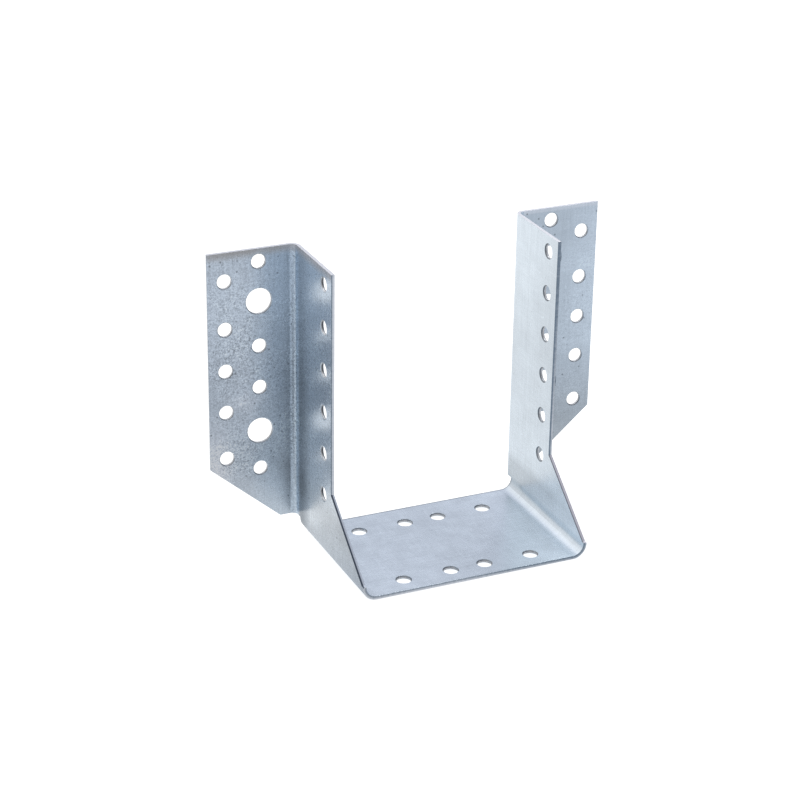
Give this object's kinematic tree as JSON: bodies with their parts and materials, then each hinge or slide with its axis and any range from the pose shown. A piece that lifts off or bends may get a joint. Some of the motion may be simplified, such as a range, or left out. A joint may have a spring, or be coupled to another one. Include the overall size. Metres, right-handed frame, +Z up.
{
  "type": "joist hanger",
  "caption": "U-shaped joist hanger folded from one galvanised sheet: a seat, tapering side walls and outward header flanges with punched nail and bolt holes.",
  "frame": {"origin": "on the ground under the seat, halfway across the hanger and halfway along its depth", "axes": "+X across the joist, +Y towards the header that the flanges are fixed to, +Z up"},
  "size_m": [0.144, 0.06, 0.1042],
  "materials": {
    "galvanised_sheet": "galvanised, satin"
  },
  "bodies": {
    "root": {"hanger": "galvanised_sheet"}
  },
  "joints": []
}
